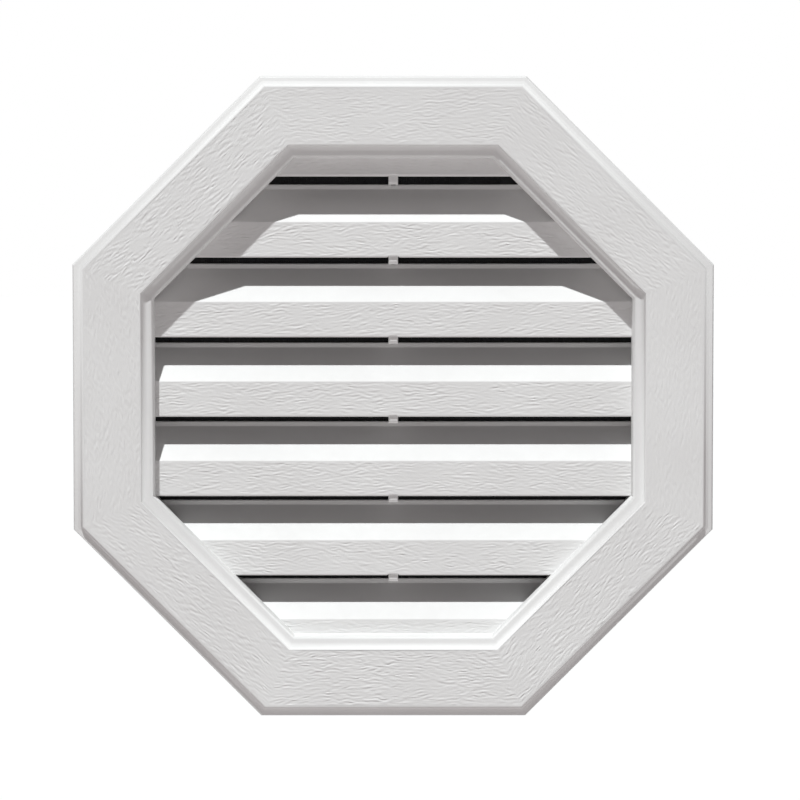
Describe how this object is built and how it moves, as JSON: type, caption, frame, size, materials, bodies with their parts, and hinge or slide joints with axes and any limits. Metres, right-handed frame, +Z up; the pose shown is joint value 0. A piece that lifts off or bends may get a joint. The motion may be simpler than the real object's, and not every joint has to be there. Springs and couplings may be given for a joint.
{
  "type": "octagonal gable vent",
  "caption": "Octagonal wall vent with a grained push-fit trim ring, sloping fixed louvres in a collar with a nailing flange, and an insect screen on the back.",
  "frame": {"origin": "centre of the octagon in the wall plane, at the back face of the nailing flange", "axes": "-Y out of the wall towards the viewer, +Z up, +X to the viewer's right"},
  "size_m": [0.559, 0.0555, 0.559],
  "materials": {
    "white_plastic": "moulded white plastic with a satin sheen, wood-grain embossing on the ring's face and on the louvres' upright faces",
    "screen_mesh": "dark woven insect screen"
  },
  "bodies": {
    "root": {"louver_base": "white_plastic", "trim_ring": "white_plastic", "insect_screen": "screen_mesh"}
  },
  "joints": []
}
